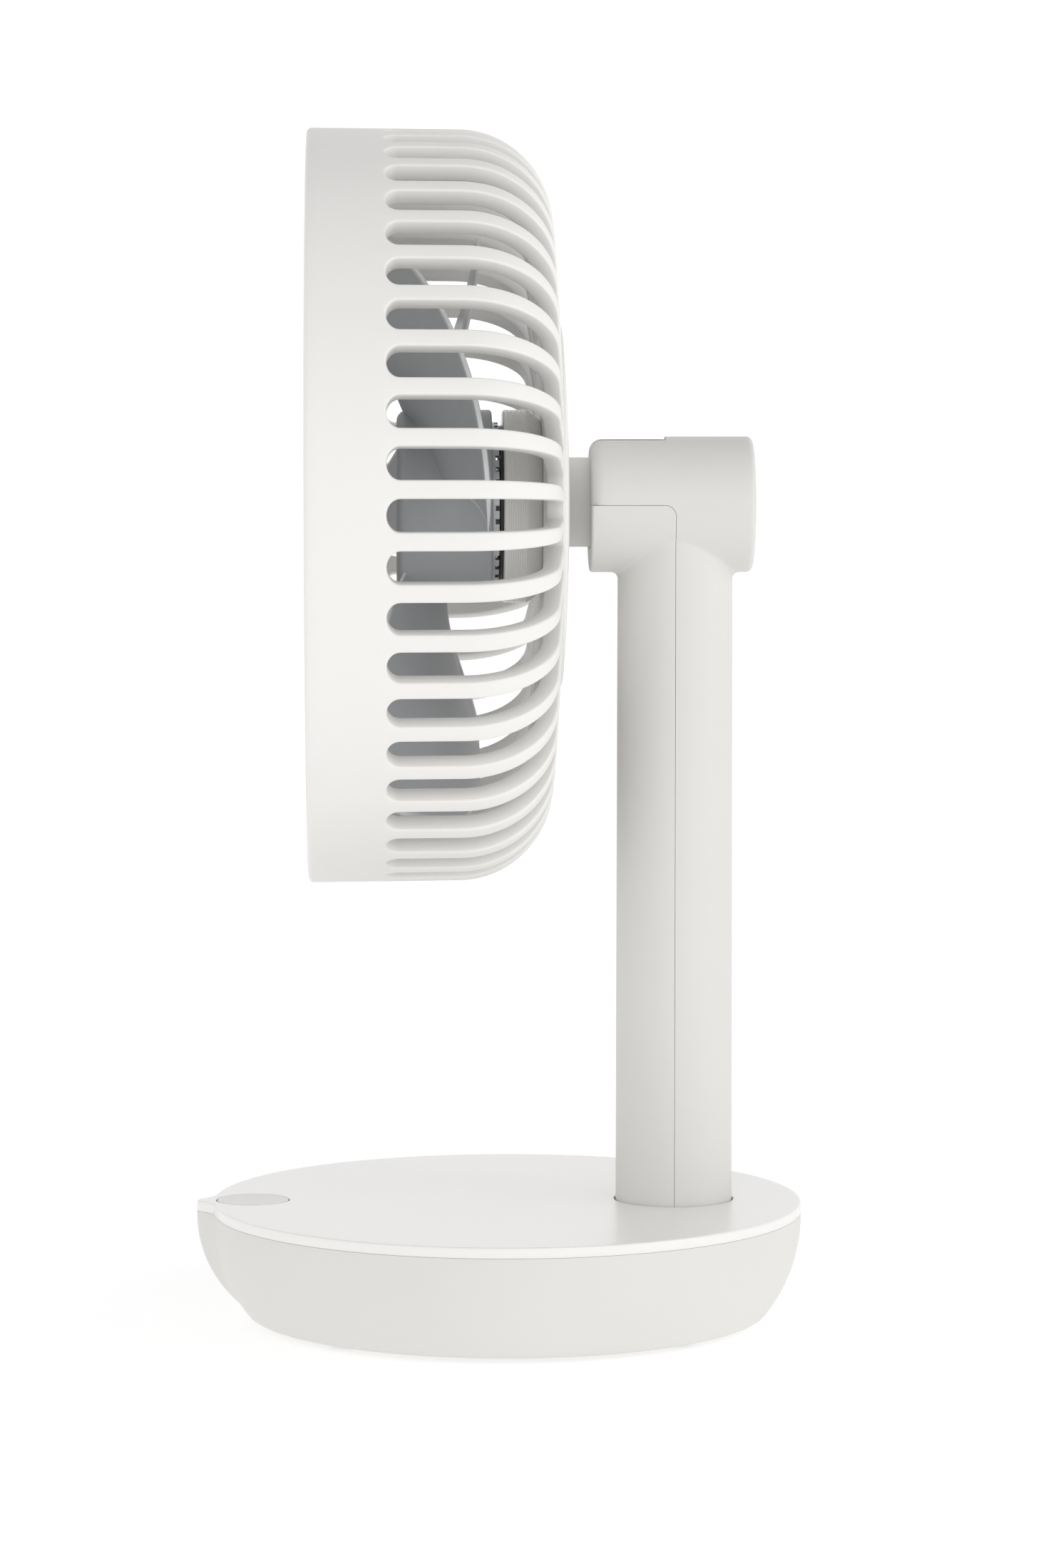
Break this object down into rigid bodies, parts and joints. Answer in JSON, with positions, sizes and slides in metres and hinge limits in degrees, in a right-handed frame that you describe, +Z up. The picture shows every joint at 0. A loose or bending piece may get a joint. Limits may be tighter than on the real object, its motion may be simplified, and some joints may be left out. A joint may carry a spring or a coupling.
{
  "type": "desk fan",
  "caption": "Cordless desk fan: slotted round head on a tilting neck, swivelling column, round base with a nose-end push button.",
  "frame": {"origin": "on the table plane at the centre of the rubber foot ring, which is the middle of the round base", "axes": "+Z up from the table; the head blows towards -X and the column stands at +X; the XZ plane is the mirror plane"},
  "size_m": [0.1627, 0.2006, 0.3187],
  "materials": {
    "white_satin": "satin white top cover, faint soft reflection",
    "white_matte": "fine matte white moulded plastic",
    "button_white": "matte white, a little darker than the cover",
    "cap_grey": "blank matte pale grey cap",
    "neck_grey": "matte light grey moulded plastic",
    "blade_grey": "cool mid grey moulded plastic",
    "mount_grey": "warm grey moulded plastic with fine turned ridges",
    "dark_plastic": "dark grey moulded plastic",
    "gear_plastic": "natural acetal",
    "foot_rubber": "dark grey rubber",
    "switch_black": "black plastic",
    "cell_sleeve": "blue shrink sleeve",
    "board_laminate": "green circuit laminate",
    "board_black": "black circuit laminate",
    "screw_steel": "zinc-plated steel",
    "bearing_steel": "ground bearing steel",
    "bell_steel": "drawn steel cup",
    "core_steel": "stacked electrical steel",
    "motor_can": "drawn steel motor can",
    "socket_metal": "folded steel socket shell",
    "ballast_iron": "cast weight",
    "magnet_dark": "sintered magnet",
    "winding_copper": "enamelled copper wire"
  },
  "bodies": {
    "base": {"base_top_cover": "white_satin", "base_bowl": "white_matte", "base_screws": "screw_steel", "foot_ring": "foot_rubber", "ballast_plate": "ballast_iron", "battery_cradle": "dark_plastic", "battery_cells": "cell_sleeve", "control_board": "board_laminate", "tact_switch": "switch_black", "inlet_socket": "socket_metal", "inlet_board": "board_laminate", "swivel_bush": "gear_plastic", "swivel_motor": "motor_can"},
    "column": {"column_front_shell": "white_matte", "column_rear_shell": "white_matte", "swivel_gear": "gear_plastic", "gear_screws": "screw_steel", "tilt_pin": "screw_steel"},
    "head": {"neck": "neck_grey", "friction_washers": "screw_steel", "rear_disc": "white_matte", "rear_grille": "white_matte", "front_grille": "white_matte", "front_cap": "cap_grey", "head_screws": "screw_steel", "motor_mount": "mount_grey", "motor_board": "board_black", "bearings": "bearing_steel", "stator_core": "core_steel", "stator_windings": "winding_copper"},
    "rotor": {"fan_blade": "blade_grey", "rotor_bell": "bell_steel", "magnet_ring": "magnet_dark", "motor_shaft": "bearing_steel"},
    "pinion": {"swivel_pinion": "gear_plastic"},
    "button": {"button_cap": "button_white"}
  },
  "joints": [
    {"name": "column_swivel", "type": "hinge", "parent": "base", "child": "column", "pos_m": [0.045, 0, 0.1], "axis": [0, 0, 1], "range_deg": [-45, 45]},
    {"name": "pinion_spin", "type": "hinge", "parent": "base", "child": "pinion", "pos_m": [0.0165, 0, 0.02], "axis": [0, 0, 1], "range_deg": [-126.5, 126.5]},
    {"name": "head_tilt", "type": "hinge", "parent": "column", "child": "head", "pos_m": [0.044, 0, 0.2189], "axis": [0, 1, 0], "range_deg": [0, 30]},
    {"name": "blade_spin", "type": "hinge", "parent": "head", "child": "rotor", "pos_m": [0, 0, 0.2184], "axis": [1, 0, 0], "continuous": true},
    {"name": "button_press", "type": "slide", "parent": "base", "child": "button", "axis": [0, 0, -1], "range_m": [0, 0.0008], "stiffness_N_per_m": 1500}
  ],
  "couplings": [
    {"joint": "pinion_spin", "follows": "column_swivel", "ratio": -2.8}
  ]
}
